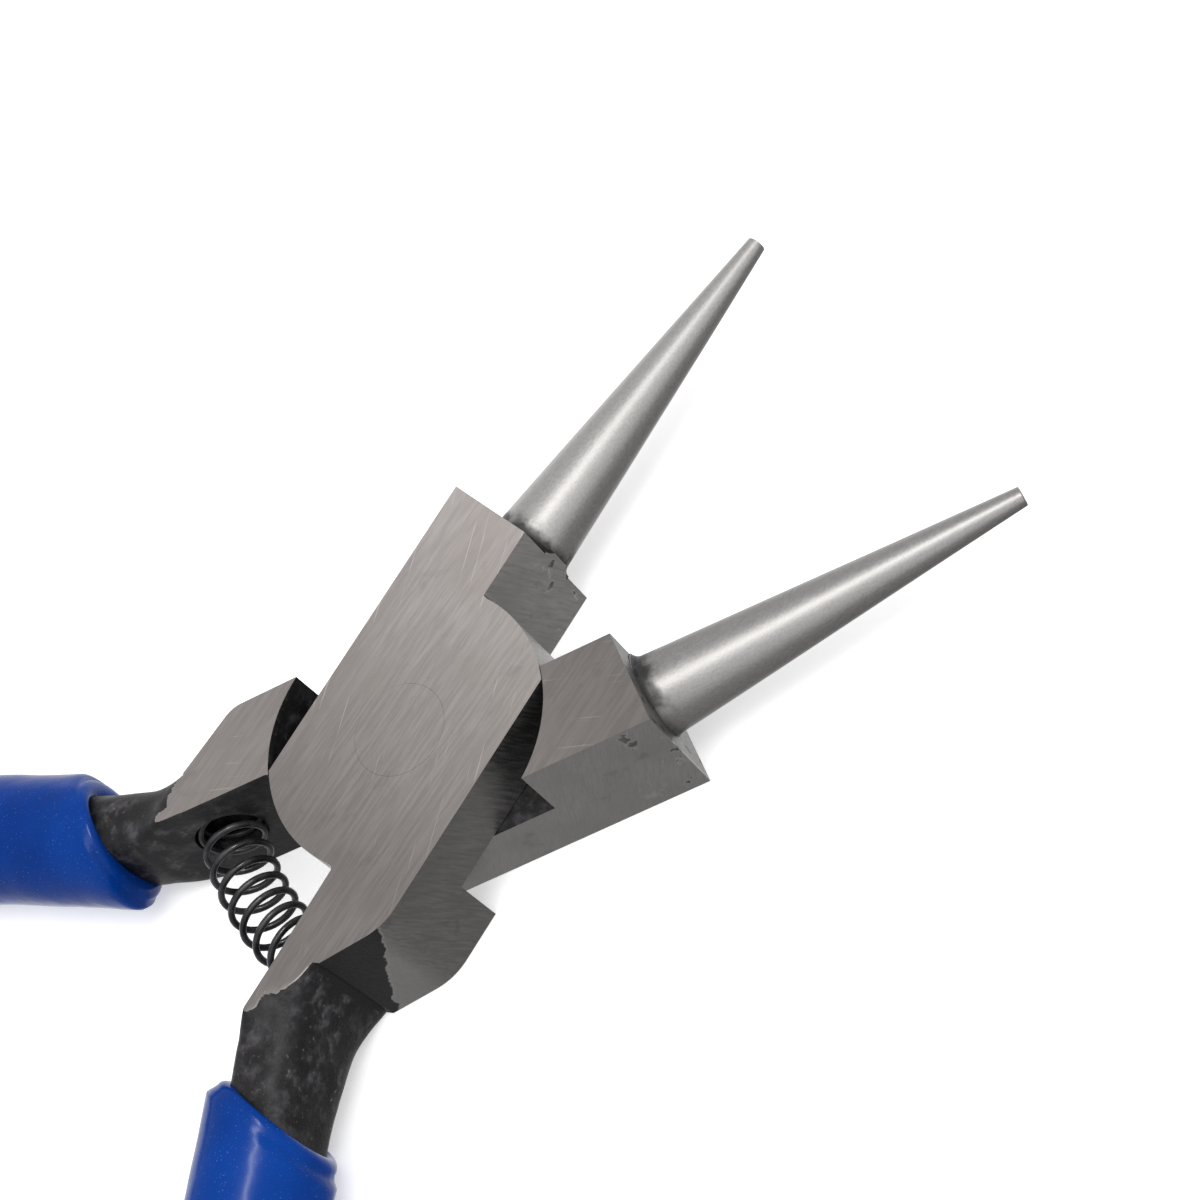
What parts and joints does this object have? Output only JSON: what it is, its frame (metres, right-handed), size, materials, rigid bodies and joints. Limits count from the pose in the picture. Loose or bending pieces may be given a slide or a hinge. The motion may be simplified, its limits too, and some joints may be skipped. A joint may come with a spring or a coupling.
{
  "type": "round nose pliers",
  "caption": "Hand pliers with two smooth tapering round jaws, a lap joint, a coil return spring and dipped grips, for bending wire loops.",
  "frame": {"origin": "on the pivot axis, at the joint's back face that the tool lies on", "axes": "+X from the pivot to the jaws, halfway between them; +Z along the pivot axis, out of the front face; +Y to the side of the front half's jaw"},
  "size_m": [0.1178, 0.0904, 0.01],
  "materials": {
    "forged_steel": "ground and satin, black forging scale on the handles",
    "rivet_steel": "ground flush with the joint",
    "spring_steel": "gloss black oxide",
    "grip_pvc": "gloss dipped coating"
  },
  "bodies": {
    "front_half": {"front_half": "forged_steel", "front_grip": "grip_pvc", "rivet": "rivet_steel", "return_spring": "spring_steel"},
    "back_half": {"back_half": "forged_steel", "back_grip": "grip_pvc"}
  },
  "joints": [
    {"name": "pivot", "type": "hinge", "parent": "front_half", "child": "back_half", "pos_m": [0, 0, 0.005], "axis": [0, 0, 1], "range_deg": [0, 40], "stiffness_Nm_per_rad": 0.19, "springref_deg": -6.88, "deforming": ["return_spring"]}
  ]
}
